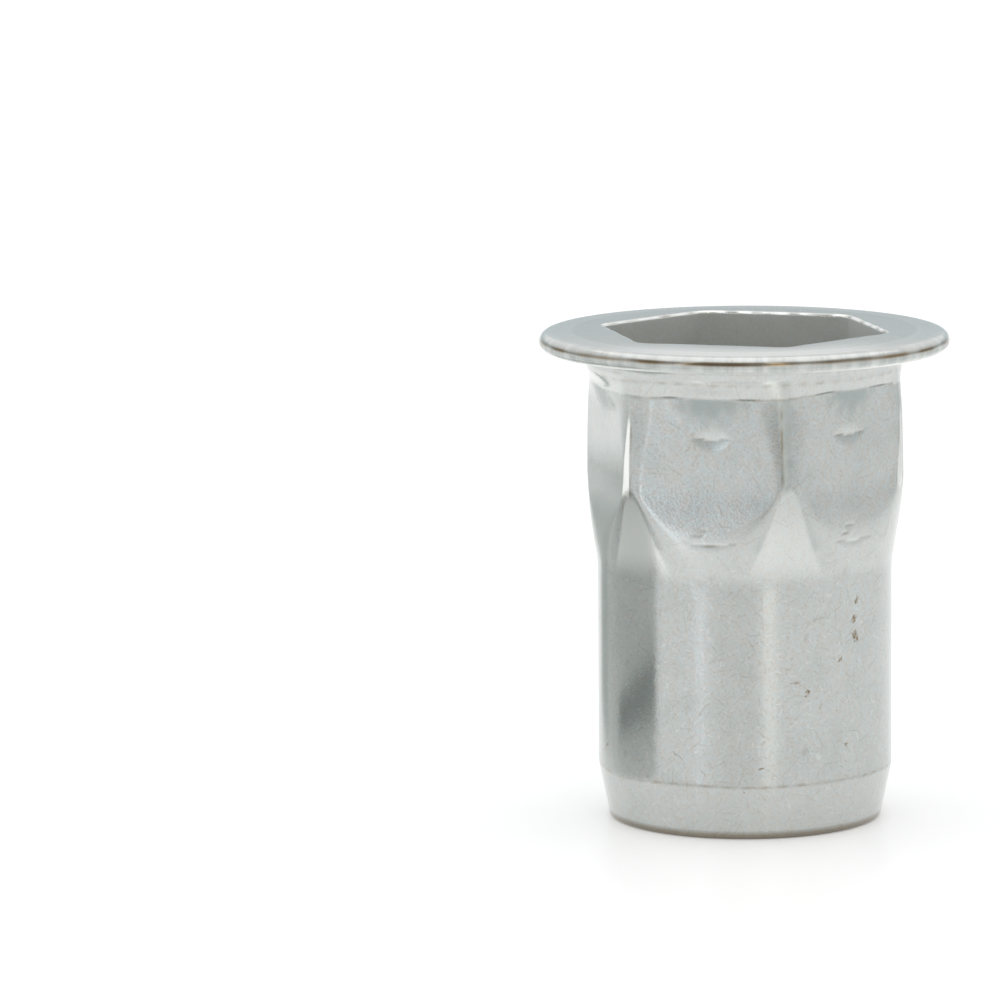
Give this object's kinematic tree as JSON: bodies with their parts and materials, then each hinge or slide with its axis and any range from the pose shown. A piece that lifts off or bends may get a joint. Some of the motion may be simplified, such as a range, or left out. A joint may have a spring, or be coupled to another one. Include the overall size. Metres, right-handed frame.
{
  "type": "rivet nut",
  "caption": "Half-hexagon blind rivet nut: wide flat flange, hexagon socket and upper body, round threaded barrel with a tapered open end.",
  "frame": {"origin": "centre of the open lower end face, on the thread's axis, at the height the nut stands on", "axes": "+Z along the thread's axis, from the open end up to the flange face; +X through a corner of the hexagon; +Y completes a right-handed frame"},
  "size_m": [0.0152, 0.0152, 0.0184],
  "materials": {
    "zinc_plated_steel": "bright zinc plating on cold-formed steel, fine-grained and lightly scuffed"
  },
  "bodies": {
    "root": {"rivet_nut": "zinc_plated_steel"}
  },
  "joints": []
}
